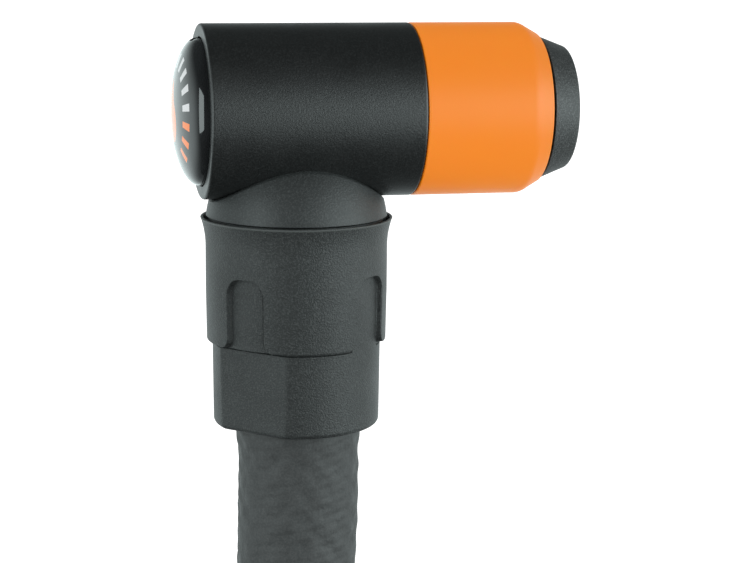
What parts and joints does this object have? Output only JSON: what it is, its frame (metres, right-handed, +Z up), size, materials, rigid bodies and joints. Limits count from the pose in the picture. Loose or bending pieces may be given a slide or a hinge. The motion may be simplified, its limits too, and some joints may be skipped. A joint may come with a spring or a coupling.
{
  "type": "air pump valve head with hose",
  "caption": "Push-on tyre valve head with a sliding lock ring, swivel collar, coiled reinforced air hose and a union nut at its pump end.",
  "frame": {"origin": "centre of the valve socket's mouth, in the front face of the nose", "axes": "+X out of the valve socket along the barrel, +Z up, the hose hangs along -Z"},
  "size_m": [0.1568, 0.0527, 0.2737],
  "materials": {
    "shell_plastic": "near-black moulded plastic, fine grain, satin",
    "core_plastic": "dark grey moulded plastic, smooth",
    "badge_gloss": "high-gloss black dome with a printed dial",
    "neck_plastic": "dark grey moulded plastic, fine grain",
    "nose_plastic": "dark grey moulded plastic, fine grain",
    "collar_plastic": "dark grey moulded plastic, coarse spark grain",
    "ring_orange": "smooth satin orange plastic",
    "seal_rubber": "black rubber",
    "hose_rubber": "matte dark grey rubber over a braided reinforcement",
    "strap_fabric": "black hook-and-loop strap",
    "brass": "turned brass",
    "steel": "spring steel",
    "ferrule_aluminium": "crimped aluminium",
    "nut_plated": "nickel-plated brass",
    "washer_fibre": "red fibre washer"
  },
  "bodies": {
    "head": {"barrel_shell": "shell_plastic", "head_core": "core_plastic", "badge_dome": "badge_gloss", "end_plug": "core_plastic", "end_plug_seal": "seal_rubber", "neck": "neck_plastic", "neck_seal": "seal_rubber", "nose_cap": "nose_plastic", "valve_seal": "seal_rubber", "pin_guide": "brass", "pin_spring": "steel", "swivel_seal_upper": "seal_rubber", "swivel_seal_lower": "seal_rubber"},
    "lock_ring": {"slide_ring": "ring_orange", "clamp_piston": "core_plastic", "piston_seal": "seal_rubber"},
    "pin": {"core_pin": "brass"},
    "hose": {"collar": "collar_plastic", "hose_nipple": "brass", "swivel_clip": "steel", "hose_ferrule": "ferrule_aluminium", "hose_end": "hose_rubber", "hose_lead": "hose_rubber", "hose_coil": "hose_rubber", "hose_tie_upper": "strap_fabric", "hose_tie_lower": "strap_fabric", "hose_tail": "hose_rubber", "pump_ferrule": "ferrule_aluminium", "pump_tailpiece": "brass", "pump_seal": "washer_fibre"},
    "nut": {"pump_nut": "nut_plated"}
  },
  "joints": [
    {"name": "ring_slide", "type": "slide", "parent": "head", "child": "lock_ring", "axis": [1, 0, 0], "range_m": [0, 0.0025], "deforming": ["valve_seal"]},
    {"name": "pin_travel", "type": "slide", "parent": "head", "child": "pin", "axis": [1, 0, 0], "range_m": [-0.003, 0], "stiffness_N_per_m": 250, "springref_m": 0.004, "deforming": ["pin_spring"]},
    {"name": "hose_swivel", "type": "hinge", "parent": "head", "child": "hose", "pos_m": [-0.0319, 0, -0.0172], "axis": [0, 0, 1], "continuous": true},
    {"name": "nut_spin", "type": "hinge", "parent": "hose", "child": "nut", "pos_m": [-0.11402, 0.03293, -0.23847], "axis": [0, 0, -1], "continuous": true}
  ]
}
